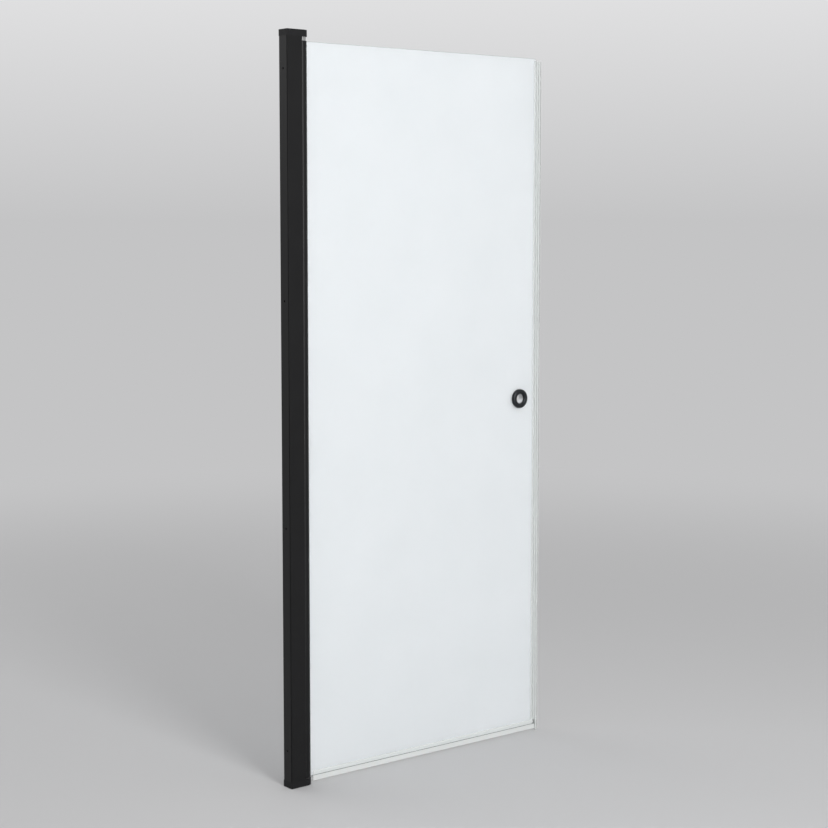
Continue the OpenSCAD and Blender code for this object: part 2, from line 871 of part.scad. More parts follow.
module knob_back_ring() {
    color(knob_black)
    difference() {
        at_knob() mirror([0, 0, 1]) knob_ring(knob_back_socket);
        at_knob_screw() translate([0, 0, -cut]) cylinder(r = knob_screw_r, h = knob_r);
    }
}

module knob_sleeve() {
    l = knob_back_socket + 2 * knob_seat_y + knob_front_socket;
    color(steel)
    at_knob() translate([0, 0, -knob_back_socket - knob_seat_y])
    difference() {
        cylinder(r = knob_sleeve_r, h = l);
        translate([0, 0, -cut]) cylinder(r = finger_r, h = l + 2 * cut);
    }
}

// A washer on the glass with a short collar that lines half of the hole
module knob_gasket() {
    difference() {
        union() {
            translate([0, 0, glass_t / 2]) cylinder(r = knob_gasket_r, h = knob_gasket_t);
            cylinder(r = glass_hole_r - fit_gap, h = glass_t / 2 + knob_gasket_t / 2);
        }
        translate([0, 0, -cut]) cylinder(r = knob_sleeve_r + fit_gap, h = glass_t + 2 * cut);
    }
}

module knob_gasket_front() {
    color(clear_pvc) at_knob() knob_gasket();
}

module knob_gasket_back() {
    color(clear_pvc) at_knob() mirror([0, 0, 1]) knob_gasket();
}

// The set screw's axis: from the sleeve down through the rim of the back ring
module at_knob_screw() {
    translate([knob_x, knob_screw_y, knob_z]) rotate([180, 0, 0])
        translate([0, 0, knob_sleeve_r]) children();
}

module knob_set_screw() {
    socket_r = 0.8;
    l = knob_r - knob_sleeve_r - 1.5;
    color(steel)
    at_knob_screw() difference() {
        cylinder(r = knob_screw_r, h = l);
        translate([0, 0, l - 1.5]) cylinder(r = socket_r, h = 2, $fn = 6);
    }
}

wall_channel();
hinge_jamb();
jamb_seal_front();
jamb_seal_back();
jamb_fixing_screws();
top_bearing_block();
top_block_screws();
bottom_bearing_block();
bottom_block_screws();
bottom_spindle();
lower_lift_cam();
strike_profile();
strike_magnet();
strike_tape();
strike_end_plugs();
top_pivot_bush();
pivot_stile();
stile_end_cap();
upper_lift_cam();
glazing_gasket();
glass_panel();
closing_seal();
door_magnet();
drip_seal();
knob_front_ring();
knob_back_ring();
knob_sleeve();
knob_gasket_front();
knob_gasket_back();
knob_set_screw();
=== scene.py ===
import math

import bpy
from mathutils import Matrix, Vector


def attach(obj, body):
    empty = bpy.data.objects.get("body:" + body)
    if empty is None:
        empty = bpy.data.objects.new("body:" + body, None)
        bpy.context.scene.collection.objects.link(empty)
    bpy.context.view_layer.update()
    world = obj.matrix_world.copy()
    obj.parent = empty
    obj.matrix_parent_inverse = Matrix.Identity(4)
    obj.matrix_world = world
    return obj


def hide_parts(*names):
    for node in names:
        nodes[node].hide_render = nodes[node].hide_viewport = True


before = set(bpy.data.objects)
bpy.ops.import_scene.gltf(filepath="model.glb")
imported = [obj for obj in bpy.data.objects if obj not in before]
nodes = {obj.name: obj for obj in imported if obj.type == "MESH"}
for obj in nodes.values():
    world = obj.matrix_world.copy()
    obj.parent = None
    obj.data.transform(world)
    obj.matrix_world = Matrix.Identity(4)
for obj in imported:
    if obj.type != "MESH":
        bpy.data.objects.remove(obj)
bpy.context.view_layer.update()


# Wall channel: the U that is screwed up at the hinge side and that the jamb slides over.
# Extruded aluminium in a black powder coat, with four screw holes through its web.
MM = 0.001


def linear(code):
    """An sRGB hex colour as the linear colour that a shader takes."""
    parts = [int(code[at : at + 2], 16) / 255 for at in (1, 3, 5)]
    return (*[p / 12.92 if p <= 0.04045 else ((p + 0.055) / 1.055) ** 2.4 for p in parts], 1)


def add_node(owner, kind, inputs=(), **settings):
    """A node of a material or world, with its settings. An input is a value or a link."""
    node = owner.node_tree.nodes.new(kind)
    for setting, value in settings.items():
        setattr(node, setting, value)
    for socket, value in dict(inputs).items():
        if isinstance(value, bpy.types.NodeSocket):
            owner.node_tree.links.new(value, node.inputs[socket])
        else:
            node.inputs[socket].default_value = value
    return node


def finish_node(node, material):
    """Gives a CAD node its finish."""
    for held in nodes[node].material_slots:
        held.material = material


# Black powder coat, sprayed and baked on an extrusion: deep black with a weak sheen. Its orange
# peel runs at about 2 mm, and the film is a little duller in cloudy patches of some 60 mm.
powder_coat = bpy.data.materials.new("black_powder_coat_on_aluminium")
powder_coat.use_nodes = True
shader = powder_coat.node_tree.nodes["Principled BSDF"]
shader.inputs["IOR"].default_value = 1.5
shader.inputs["Specular IOR Level"].default_value = 0.23
spot = add_node(powder_coat, "ShaderNodeTexCoord")
cloud = add_node(powder_coat, "ShaderNodeTexNoise",
                 {"Vector": spot.outputs["Object"], "Scale": 1 / (60 * MM), "Detail": 3})
shade = add_node(powder_coat, "ShaderNodeValToRGB", {"Fac": cloud.outputs["Fac"]})
shade.color_ramp.elements[0].color = linear("#0B0B0C")
shade.color_ramp.elements[1].color = linear("#101011")
dull = add_node(powder_coat, "ShaderNodeMapRange",
                {"Value": cloud.outputs["Fac"], "To Min": 0.36, "To Max": 0.46})
peel = add_node(powder_coat, "ShaderNodeTexNoise",
                {"Vector": spot.outputs["Object"], "Scale": 1 / (2 * MM), "Detail": 2})
bump = add_node(powder_coat, "ShaderNodeBump",
                {"Height": peel.outputs["Fac"], "Strength": 0.3, "Distance": 0.05 * MM})
powder_coat.node_tree.links.new(shade.outputs["Color"], shader.inputs["Base Color"])
powder_coat.node_tree.links.new(dull.outputs["Result"], shader.inputs["Roughness"])
powder_coat.node_tree.links.new(bump.outputs["Normal"], shader.inputs["Normal"])

finish_node("wall_channel", powder_coat)


# Hinge jamb: the upright that the stile turns in, with a round seat along its open edge, a
# groove for a wiper at each side of it and two screw ports. One aluminium extrusion, coated.
def arc(centre_x, centre_y, radius, start, end, steps):
    """The points of an arc, both ends included, with its angles in degrees."""
    turns = [math.radians(start + (end - start) * step / steps) for step in range(steps + 1)]
    return [(centre_x + radius * math.cos(t), centre_y + radius * math.sin(t)) for t in turns]


def circle(centre_x, centre_y, radius, points):
    """The points of a whole circle, each of them once."""
    return arc(centre_x, centre_y, radius, 0, 360 - 360 / points, points - 1)


def draw_lines(name, lines):
    """A new piece in edit mode that holds closed lines, drawn point to point, in mm."""
    bpy.ops.object.select_all(action="DESELECT")
    bpy.ops.mesh.primitive_plane_add(size=MM, location=(0, 0, 0))
    piece = bpy.context.object
    piece.name = piece.data.name = name
    bpy.ops.object.mode_set(mode="EDIT")
    bpy.ops.mesh.select_mode(type="VERT")
    bpy.ops.mesh.delete(type="VERT")
    for line in lines:
        points = [Vector(point) * MM for point in line]
        bpy.ops.mesh.primitive_plane_add(size=MM, location=points[0])
        bpy.ops.mesh.merge(type="CENTER")
        for here, there in zip(points, points[1:] + points[:1]):
            bpy.ops.mesh.extrude_region_move(TRANSFORM_OT_translate={"value": there - here})
    bpy.ops.mesh.select_all(action="SELECT")
    bpy.ops.mesh.remove_doubles(threshold=0.01 * MM)
    return piece


def extruded(name, lines, along):
    """A section of closed lines, the inner ones hollow, drawn out along a vector, in mm."""
    piece = draw_lines(name, lines)
    bpy.ops.mesh.fill()
    bpy.ops.mesh.dissolve_limited(angle_limit=math.radians(0.5))
    bpy.ops.mesh.select_all(action="SELECT")
    bpy.ops.mesh.extrude_region_move(TRANSFORM_OT_translate={"value": Vector(along) * MM})
    bpy.ops.mesh.select_all(action="SELECT")
    bpy.ops.mesh.normals_make_consistent(inside=False)
    bpy.ops.object.mode_set(mode="OBJECT")
    return piece


def turned(name, profile, centre, axis, steps):
    """A closed profile turned once round an axis, as on a lathe, in mm."""
    piece = draw_lines(name, [profile])
    bpy.ops.mesh.spin(steps=steps, angle=math.tau, center=Vector(centre) * MM, axis=axis)
    bpy.ops.mesh.select_all(action="SELECT")
    bpy.ops.mesh.remove_doubles(threshold=0.005 * MM)
    bpy.ops.mesh.normals_make_consistent(inside=False)
    bpy.ops.object.mode_set(mode="OBJECT")
    return piece


def combine(piece, other, operation):
    """Cuts another piece out of this one, or welds it on, and keeps only the result."""
    join = piece.modifiers.new("join", "BOOLEAN")
    join.object, join.operation, join.solver = other, operation, "EXACT"
    bpy.context.view_layer.objects.active = piece
    bpy.ops.object.modifier_apply(modifier=join.name)
    bpy.data.objects.remove(other)


def smooth(piece, angle=35):
    """Smooth shading over every edge that is flatter than the angle, with flat faces kept level."""
    bpy.ops.object.select_all(action="DESELECT")
    piece.select_set(True)
    bpy.context.view_layer.objects.active = piece
    bpy.ops.object.shade_smooth_by_angle(angle=math.radians(angle))
    level = piece.modifiers.new("level", "WEIGHTED_NORMAL")
    level.keep_sharp = True
    bpy.ops.object.modifier_apply(modifier=level.name)


def countersunk_hole(hole_r, head_r, depth):
    """The profile of a countersunk hole, as radius and height under the head."""
    return [(0, 1), (head_r, 1), (head_r, 0), (hole_r, hole_r - head_r), (hole_r, -depth), (0, -depth)]


pivot_x = -393.5
jamb_foot, jamb_head = 18, 1983
jamb_edge, jamb_lip = -449, -402.5
jamb_half, jamb_inner = 19, 16.8
lip_r, edge_r = 1.2, 0.5
web_back, web_front = -422, -420.2
seat_r, seat_back_r = 15.6, 17.4
nose_back = -407
port_x, port_y, port_boss_r, port_r = -413.6, 13.2, 4.2, 1.75
groove_y, groove_mouth, groove_half = 15.642, 0.7, 1.4
groove_front, groove_back = -403.7, -405.7

seat_end = math.degrees(math.acos((jamb_lip - pivot_x) / seat_r))
upper_side = [
    *arc(pivot_x, 0, seat_r, 180, seat_end, 28),
    (jamb_lip, groove_y - groove_mouth), (groove_front, groove_y - groove_mouth),
    (groove_front, groove_y - groove_half), (groove_back, groove_y - groove_half),
    (groove_back, groove_y + groove_half), (groove_front, groove_y + groove_half),
    (groove_front, groove_y + groove_mouth), (jamb_lip, groove_y + groove_mouth),
    *arc(jamb_lip - lip_r, jamb_half - lip_r, lip_r, 0, 90, 6),
    *arc(jamb_edge + edge_r, jamb_half - edge_r, edge_r, 90, 180, 3),
    (jamb_edge, jamb_inner), (web_back, jamb_inner),
]
jamb_outline = upper_side + [(x, -y) for x, y in reversed(upper_side[1:])]

boss_cut = math.degrees(math.asin((jamb_inner - port_y) / port_boss_r))
seat_cut = math.degrees(math.acos((nose_back - pivot_x) / seat_back_r))
upper_cell = [
    (web_front, jamb_inner),
    *arc(port_x, port_y, port_boss_r, 180 - boss_cut, 360 + boss_cut, 24),
    (nose_back, jamb_inner),
    *arc(pivot_x, 0, seat_back_r, seat_cut, 180, 14),
]
jamb_cell = upper_cell + [(x, -y) for x, y in reversed(upper_cell[:-1])]
jamb_ports = [circle(port_x, side * port_y, port_r, 24) for side in (-1, 1)]

jamb = extruded(
    "hinge_jamb_extrusion",
    [[(x, y, jamb_foot) for x, y in line] for line in (jamb_outline, jamb_cell, *jamb_ports)],
    (0, 0, jamb_head - jamb_foot),
)
fixing_x, fixing_heights = -436, (150, 1000, 1850)
fixing_hole_r, fixing_head_r, fixing_depth = 2.05, 3.7, 3
for fixing_z in fixing_heights:
    hole = [(fixing_x + r, jamb_half + depth, fixing_z)
            for r, depth in countersunk_hole(fixing_hole_r, fixing_head_r, fixing_depth)]
    combine(jamb, turned("fixing_hole", hole, (fixing_x, jamb_half, fixing_z), (0, 1, 0), 32),
            "DIFFERENCE")
smooth(jamb)
jamb.data.materials.append(powder_coat)
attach(jamb, "frame")
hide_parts("hinge_jamb")


# Jamb wipers: soft black strips, one at each side of the stile, that keep the water in.
# Extruded EPDM rubber, pushed into the jamb's grooves from the end.

# EPDM rubber from an extruder: dead black and dull, with fine drag lines along its length and a
# grain of 0.4 mm, drawn as coarse as it needs to show.
epdm = bpy.data.materials.new("black_epdm_rubber")
epdm.use_nodes = True
shader = epdm.node_tree.nodes["Principled BSDF"]
shader.inputs["IOR"].default_value = 1.5
shader.inputs["Specular IOR Level"].default_value = 0.25
spot = add_node(epdm, "ShaderNodeTexCoord")
drag = add_node(epdm, "ShaderNodeMapping", {"Vector": spot.outputs["Object"], "Scale": (1, 1, 0.02)})
grain = add_node(epdm, "ShaderNodeTexNoise",
                 {"Vector": drag.outputs["Vector"], "Scale": 1 / (0.4 * MM), "Detail": 3})
shade = add_node(epdm, "ShaderNodeValToRGB", {"Fac": grain.outputs["Fac"]})
shade.color_ramp.elements[0].color = linear("#111112")
shade.color_ramp.elements[1].color = linear("#1A1A1B")
dull = add_node(epdm, "ShaderNodeMapRange",
                {"Value": grain.outputs["Fac"], "To Min": 0.6, "To Max": 0.75})
bump = add_node(epdm, "ShaderNodeBump",
                {"Height": grain.outputs["Fac"], "Strength": 0.3, "Distance": 0.03 * MM})
epdm.node_tree.links.new(shade.outputs["Color"], shader.inputs["Base Color"])
epdm.node_tree.links.new(dull.outputs["Result"], shader.inputs["Roughness"])
epdm.node_tree.links.new(bump.outputs["Normal"], shader.inputs["Normal"])

finish_node("jamb_seal_front", epdm)
finish_node("jamb_seal_back", epdm)


# Countersunk screws: three lock the jamb to the channel from the wet side, and two at each end
# go through a block into the jamb's ports. Stainless steel with a black passivated skin.

# Black passivated steel: a dark metal skin that is rubbed a little brighter in patches of 1 mm.
black_steel = bpy.data.materials.new("black_passivated_steel")
black_steel.use_nodes = True
shader = black_steel.node_tree.nodes["Principled BSDF"]
shader.inputs["Metallic"].default_value = 1
spot = add_node(black_steel, "ShaderNodeTexCoord")
rubbed = add_node(black_steel, "ShaderNodeTexNoise",
                  {"Vector": spot.outputs["Object"], "Scale": 1 / (1 * MM), "Detail": 4})
shade = add_node(black_steel, "ShaderNodeValToRGB", {"Fac": rubbed.outputs["Fac"]})
shade.color_ramp.elements[0].position = 0.35
shade.color_ramp.elements[0].color = linear("#1E1E20")
shade.color_ramp.elements[1].position = 0.75
shade.color_ramp.elements[1].color = linear("#3C3C3F")
dull = add_node(black_steel, "ShaderNodeMapRange",
                {"Value": rubbed.outputs["Fac"], "To Min": 0.3, "To Max": 0.45})
black_steel.node_tree.links.new(shade.outputs["Color"], shader.inputs["Base Color"])
black_steel.node_tree.links.new(dull.outputs["Result"], shader.inputs["Roughness"])

for screws in ("jamb_fixing_screws", "top_block_screws", "bottom_block_screws"):
    finish_node(screws, black_steel)


# Bearing blocks: the two ends of the jamb, a D in plan, with a keyed pocket round the pivot and
# plugs that stand in the channel and behind the seat. Moulded in black glass-filled nylon.

# Glass-filled nylon with a spark-eroded grain of 0.5 mm: a shade greyer and duller than the coat.
nylon = bpy.data.materials.new("black_moulded_nylon")
nylon.use_nodes = True
shader = nylon.node_tree.nodes["Principled BSDF"]
shader.inputs["IOR"].default_value = 1.53
shader.inputs["Specular IOR Level"].default_value = 0.14
spot = add_node(nylon, "ShaderNodeTexCoord")
grain = add_node(nylon, "ShaderNodeTexNoise",
                 {"Vector": spot.outputs["Object"], "Scale": 1 / (0.5 * MM), "Detail": 3})
flow = add_node(nylon, "ShaderNodeTexNoise",
                {"Vector": spot.outputs["Object"], "Scale": 1 / (15 * MM), "Detail": 2})
shade = add_node(nylon, "ShaderNodeValToRGB", {"Fac": flow.outputs["Fac"]})
shade.color_ramp.elements[0].color = linear("#171718")
shade.color_ramp.elements[1].color = linear("#1D1D1F")
dull = add_node(nylon, "ShaderNodeMapRange",
                {"Value": grain.outputs["Fac"], "To Min": 0.45, "To Max": 0.62})
bump = add_node(nylon, "ShaderNodeBump",
                {"Height": grain.outputs["Fac"], "Strength": 0.35, "Distance": 0.04 * MM})
nylon.node_tree.links.new(shade.outputs["Color"], shader.inputs["Base Color"])
nylon.node_tree.links.new(dull.outputs["Result"], shader.inputs["Roughness"])
nylon.node_tree.links.new(bump.outputs["Normal"], shader.inputs["Normal"])


def same(place, other):
    """Whether two places in mm are one."""
    return abs(place - other) < 0.01


def rounded(piece, radius, steps, where):
    """Rounds the sharp edges whose two ends, as points in mm, both pass a test."""
    bpy.context.view_layer.objects.active = piece
    bpy.ops.object.mode_set(mode="EDIT")
    bpy.ops.mesh.select_mode(type="EDGE")
    bpy.ops.mesh.select_all(action="DESELECT")
    bpy.ops.mesh.edges_select_sharp(sharpness=math.radians(40))
    bpy.ops.object.mode_set(mode="OBJECT")
    piece.data.polygons.foreach_set("select", [False] * len(piece.data.polygons))
    for edge in piece.data.edges:
        ends = [piece.data.vertices[end].co / MM for end in edge.vertices]
        edge.select = edge.select and all(where(*end) for end in ends)
    bpy.ops.object.mode_set(mode="EDIT")
    bpy.ops.mesh.bevel(offset=radius * MM, segments=steps, affect="EDGES")
    bpy.ops.object.mode_set(mode="OBJECT")


def box_lines(x0, x1, y0, y1, z):
    """One closed line round a rectangle."""
    return [(x0, y0, z), (x1, y0, z), (x1, y1, z), (x0, y1, z)]


block_back, nose_x, nose_r = -450, -397.5, 19
pocket_r, key_slot_half, key_slot_end = 13.3, 2.3, 15.3
plug_l, plug_x0, plug_x1, plug_half, plug_wall = 16, -447.7, -425.7, 14.2, 2.2
tongue_x0, tongue_x1, tongue_half = -419.9, -411.2, 6
block_hole_r, block_head_r, block_hole_l, block_edge_r = 2.1, 3.7, 20, 0.8
block_outline = [
    (block_back, -nose_r), *arc(nose_x, 0, nose_r, -90, 90, 48), (block_back, nose_r),
]
slot_turn = math.degrees(math.asin(key_slot_half / pocket_r))
pocket_outline = [
    (pivot_x - key_slot_end, key_slot_half), (pivot_x - key_slot_end, -key_slot_half),
    *arc(pivot_x, 0, pocket_r, slot_turn - 180, 180 - slot_turn, 64),
]
# Name, CAD node, the face that shows, the face on the jamb and the depth of the pocket
for name, node, face, seat, pocket in (
    ("top_bearing_block_moulding", "top_bearing_block", 2000, jamb_head, 15),
    ("bottom_bearing_block_moulding", "bottom_bearing_block", 0, jamb_foot, 14),
):
    out = 1 if face > seat else -1
    block = extruded(name, [[(x, y, seat) for x, y in block_outline]], (0, 0, face - seat))
    rounded(block, block_edge_r, 4, lambda x, y, z: same(z, face) and not same(x, block_back))
    plug_hollows = [
        box_lines(plug_x0 + plug_wall, plug_x1 - plug_wall, low, low + plug_half - 2 * plug_wall, seat + out)
        for low in (plug_wall - plug_half, plug_wall)
    ]
    plug = extruded("plug", [box_lines(plug_x0, plug_x1, -plug_half, plug_half, seat + out), *plug_hollows],
                    (0, 0, -out * (plug_l + 1)))
    combine(block, plug, "UNION")
    tongue = extruded("tongue", [box_lines(tongue_x0, tongue_x1, -tongue_half, tongue_half, seat + out)],
                      (0, 0, -out * (plug_l + 1)))
    combine(block, tongue, "UNION")
    hollow = extruded("pocket", [[(x, y, seat - out) for x, y in pocket_outline]],
                      (0, 0, out * (pocket + 1)))
    combine(block, hollow, "DIFFERENCE")
    for side in (-1, 1):
        hole = [(port_x + r, side * port_y, face + out * depth)
                for r, depth in countersunk_hole(block_hole_r, block_head_r, block_hole_l)]
        combine(block, turned("screw_hole", hole, (port_x, side * port_y, face), (0, 0, 1), 32),
                "DIFFERENCE")
    smooth(block)
    block.data.materials.append(nylon)
    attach(block, "frame")
    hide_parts(node)


# Rising hinge: a steel spindle stands in the bottom block between two cams with helical ramps,
# the lower one keyed in the block and the upper one in the stile. It lifts the door as it opens.

# Turned stainless steel: pale and satin, with tool marks round the axis every 0.3 mm.
stainless = bpy.data.materials.new("turned_stainless_steel")
stainless.use_nodes = True
shader = stainless.node_tree.nodes["Principled BSDF"]
shader.inputs["Metallic"].default_value = 1
spot = add_node(stainless, "ShaderNodeTexCoord")
marks = add_node(stainless, "ShaderNodeMapping", {"Vector": spot.outputs["Object"], "Scale": (0.1, 0.1, 1)})
tool = add_node(stainless, "ShaderNodeTexNoise",
                {"Vector": marks.outputs["Vector"], "Scale": 1 / (0.3 * MM), "Detail": 2})
shade = add_node(stainless, "ShaderNodeValToRGB", {"Fac": tool.outputs["Fac"]})
shade.color_ramp.elements[0].color = linear("#C6C8CA")
shade.color_ramp.elements[1].color = linear("#DADBDD")
dull = add_node(stainless, "ShaderNodeMapRange",
                {"Value": tool.outputs["Fac"], "To Min": 0.5, "To Max": 0.6})
stainless.node_tree.links.new(shade.outputs["Color"], shader.inputs["Base Color"])
stainless.node_tree.links.new(dull.outputs["Result"], shader.inputs["Roughness"])

# Grey acetal off a lathe: an even light grey with a soft sheen and faint turning lines of 0.5 mm.
acetal_grey = bpy.data.materials.new("light_grey_acetal")
acetal_grey.use_nodes = True
shader = acetal_grey.node_tree.nodes["Principled BSDF"]
shader.inputs["IOR"].default_value = 1.48
shader.inputs["Roughness"].default_value = 0.38
spot = add_node(acetal_grey, "ShaderNodeTexCoord")
lines = add_node(acetal_grey, "ShaderNodeMapping", {"Vector": spot.outputs["Object"], "Scale": (0.1, 0.1, 1)})
lathe = add_node(acetal_grey, "ShaderNodeTexNoise",
                 {"Vector": lines.outputs["Vector"], "Scale": 1 / (0.5 * MM), "Detail": 2})
shade = add_node(acetal_grey, "ShaderNodeValToRGB", {"Fac": lathe.outputs["Fac"]})
shade.color_ramp.elements[0].color = linear("#828282")
shade.color_ramp.elements[1].color = linear("#8F8F8F")
bump = add_node(acetal_grey, "ShaderNodeBump",
                {"Height": lathe.outputs["Fac"], "Strength": 0.2, "Distance": 0.03 * MM})
acetal_grey.node_tree.links.new(shade.outputs["Color"], shader.inputs["Base Color"])
acetal_grey.node_tree.links.new(bump.outputs["Normal"], shader.inputs["Normal"])

finish_node("bottom_spindle", stainless)
finish_node("lower_lift_cam", acetal_grey)
finish_node("upper_lift_cam", acetal_grey)


# Top pivot bush: a collar that slides up and down in the top block, held by its key, and a stem
# that the stile turns on. Light grey acetal, turned, with rounded edges and a lead-in at its tip.
bush_r, bush_foot, bush_head = 13, 1972.3, 1991
key_half, key_end = 2, 15
stem_r, stem_foot, stem_tip = 5.45, 1932.3, 1931.7
bush_edge, stem_root = 0.6, 2
key_turn = math.degrees(math.asin(key_half / bush_r))
bush_outline = [
    (pivot_x - key_end, key_half), (pivot_x - key_end, -key_half),
    *arc(pivot_x, 0, bush_r, key_turn - 180, 180 - key_turn, 72),
]
bush = extruded("top_pivot_bush_turning", [[(x, y, bush_foot) for x, y in bush_outline]],
                (0, 0, bush_head - bush_foot))
rounded(bush, bush_edge, 3, lambda x, y, z: same(z, bush_head) or same(z, bush_foot))
stem = [(pivot_x + r, 0, z) for r, z in (
    (0, bush_foot + stem_root), (stem_r, bush_foot + stem_root), (stem_r, stem_foot),
    (stem_r - bush_edge, stem_tip), (0, stem_tip),
)]
combine(bush, turned("stem", stem, (pivot_x, 0, stem_tip), (0, 0, 1), 48), "UNION")
smooth(bush)
bush.data.materials.append(acetal_grey)
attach(bush, "lift_bush")
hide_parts("top_pivot_bush")


# Pivot stile: the round upright that turns with the glass. One aluminium extrusion in the same
# black coat, with a bore for the stems, two hollows that take the lugs and a pocket for the glass.
stile_foot, stile_head = 19.5, 1970
stile_r, bore_r = 15, 5.5
# The hollows, at both sides of the pocket: radii, and degrees round from its middle
hollow_in, hollow_out, hollow_start, hollow_end = 7.4, 13, 62, 172
pocket_half, pocket_u, mouth_r = 4, 7.4, 0.5
mouth_turn = math.degrees(math.asin((pocket_half + mouth_r) / (stile_r - mouth_r)))
mouth_u = (stile_r - mouth_r) * math.cos(math.radians(mouth_turn))
stile_outline = [
    *arc(0, 0, stile_r, mouth_turn, 360 - mouth_turn, 120),
    *arc(mouth_u, -pocket_half - mouth_r, mouth_r, -mouth_turn, 90, 5)[1:],
    (pocket_u, -pocket_half), (pocket_u, pocket_half),
    *arc(mouth_u, pocket_half + mouth_r, mouth_r, -90, mouth_turn, 5)[:-1],
]
stile_bore = circle(0, 0, bore_r, 60)
stile_hollows = [
    arc(0, 0, hollow_out, side * hollow_start, side * hollow_end, 40)
    + arc(0, 0, hollow_in, side * hollow_end, side * hollow_start, 30) for side in (-1, 1)
]
stile = extruded(
    "pivot_stile_extrusion",
    [[(pivot_x + u, y, stile_foot) for u, y in line] for line in (stile_outline, stile_bore, *stile_hollows)],
    (0, 0, stile_head - stile_foot),
)
smooth(stile)
stile.data.materials.append(powder_coat)
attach(stile, "door")
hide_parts("pivot_stile")

finish_node("stile_end_cap", nylon)
finish_node("glazing_gasket", epdm)


# Glass panel: the leaf, 6 mm toughened glass with round free corners, ground arrises and a hole
# for the pull. Both faces are acid-etched, so that it scatters the light and hides what is behind.

# Acid-etched glass: a soft milky white, very slightly blue, that glows with the light behind it.
# The etch is even, with clouds of about 150 mm, and has no shine of its own.
etched_glass = bpy.data.materials.new("acid_etched_toughened_glass")
etched_glass.use_nodes = True
shader = etched_glass.node_tree.nodes["Principled BSDF"]
shader.inputs["IOR"].default_value = 1.5
shader.inputs["Specular IOR Level"].default_value = 0.2
shader.inputs["Transmission Weight"].default_value = 0.42
spot = add_node(etched_glass, "ShaderNodeTexCoord")
etch = add_node(etched_glass, "ShaderNodeTexNoise",
                {"Vector": spot.outputs["Object"], "Scale": 1 / (150 * MM), "Detail": 4})
shade = add_node(etched_glass, "ShaderNodeValToRGB", {"Fac": etch.outputs["Fac"]})
shade.color_ramp.elements[0].color = linear("#EEF2F4")
shade.color_ramp.elements[1].color = linear("#F4F7F9")
dull = add_node(etched_glass, "ShaderNodeMapRange",
                {"Value": etch.outputs["Fac"], "To Min": 0.6, "To Max": 0.68})
etched_glass.node_tree.links.new(shade.outputs["Color"], shader.inputs["Base Color"])
etched_glass.node_tree.links.new(dull.outputs["Result"], shader.inputs["Roughness"])

# Ground and polished edge: the same glass without the etch, seen along the sheet, so it is a
# darker grey-green, with the grinding wheel's marks of about 1 mm.
ground_edge = bpy.data.materials.new("ground_glass_edge")
ground_edge.use_nodes = True
shader = ground_edge.node_tree.nodes["Principled BSDF"]
shader.inputs["IOR"].default_value = 1.5
shader.inputs["Transmission Weight"].default_value = 0.4
spot = add_node(ground_edge, "ShaderNodeTexCoord")
wheel = add_node(ground_edge, "ShaderNodeTexNoise",
                 {"Vector": spot.outputs["Object"], "Scale": 1 / (1 * MM), "Detail": 3})
shade = add_node(ground_edge, "ShaderNodeValToRGB", {"Fac": wheel.outputs["Fac"]})
shade.color_ramp.elements[0].color = linear("#A3B1AC")
shade.color_ramp.elements[1].color = linear("#B6C2BD")
dull = add_node(ground_edge, "ShaderNodeMapRange",
                {"Value": wheel.outputs["Fac"], "To Min": 0.12, "To Max": 0.24})
ground_edge.node_tree.links.new(shade.outputs["Color"], shader.inputs["Base Color"])
ground_edge.node_tree.links.new(dull.outputs["Result"], shader.inputs["Roughness"])

glass_x0, glass_x1, glass_foot, glass_head = -385.1, 430, 20, 1972
glass_half, corner_r, arris = 3, 6, 0.7
knob_x, knob_z, glass_hole_r = 369, 995, 18.5
glass_outline = [
    (glass_x0, glass_foot),
    *arc(glass_x1 - corner_r, glass_foot + corner_r, corner_r, -90, 0, 8),
    *arc(glass_x1 - corner_r, glass_head - corner_r, corner_r, 0, 90, 8),
    (glass_x0, glass_head),
]
glass = extruded(
    "glass_panel_etched",
    [[(x, -glass_half, z) for x, z in line]
     for line in (glass_outline, circle(knob_x, knob_z, glass_hole_r, 60))],
    (0, 2 * glass_half, 0),
)
rounded(glass, arris, 2, lambda x, y, z: True)
smooth(glass, 50)
glass.data.materials.append(etched_glass)
glass.data.materials.append(ground_edge)
for face in glass.data.polygons:
    face.material_index = 0 if abs(face.normal.y) > 0.99 else 1
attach(glass, "door")
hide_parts("glass_panel")


# Closing seal: a U that grips the glass's free edge, with a box for the magnet that pulls the
# door shut. Extruded clear PVC, with the magnet strip pushed in from the end.

# Clear soft PVC: see-through and glossy, with a trace of green and draw lines along its length
# every 0.8 mm.
clear_pvc = bpy.data.materials.new("clear_soft_pvc")
clear_pvc.use_nodes = True
shader = clear_pvc.node_tree.nodes["Principled BSDF"]
shader.inputs["IOR"].default_value = 1.53
shader.inputs["Transmission Weight"].default_value = 0.4
shader.inputs["Alpha"].default_value = 0.5
spot = add_node(clear_pvc, "ShaderNodeTexCoord")
draw = add_node(clear_pvc, "ShaderNodeMapping", {"Vector": spot.outputs["Object"], "Scale": (1, 1, 0.0005)})
lines = add_node(clear_pvc, "ShaderNodeTexNoise",
                 {"Vector": draw.outputs["Vector"], "Scale": 1 / (0.8 * MM), "Detail": 2})
shade = add_node(clear_pvc, "ShaderNodeValToRGB", {"Fac": lines.outputs["Fac"]})
shade.color_ramp.elements[0].color = linear("#F2F6F5")
shade.color_ramp.elements[1].color = linear("#FAFCFB")
dull = add_node(clear_pvc, "ShaderNodeMapRange",
                {"Value": lines.outputs["Fac"], "To Min": 0.16, "To Max": 0.28})
bump = add_node(clear_pvc, "ShaderNodeBump",
                {"Height": lines.outputs["Fac"], "Strength": 0.1, "Distance": 0.03 * MM})
clear_pvc.node_tree.links.new(shade.outputs["Color"], shader.inputs["Base Color"])
clear_pvc.node_tree.links.new(dull.outputs["Result"], shader.inputs["Roughness"])
clear_pvc.node_tree.links.new(bump.outputs["Normal"], shader.inputs["Normal"])

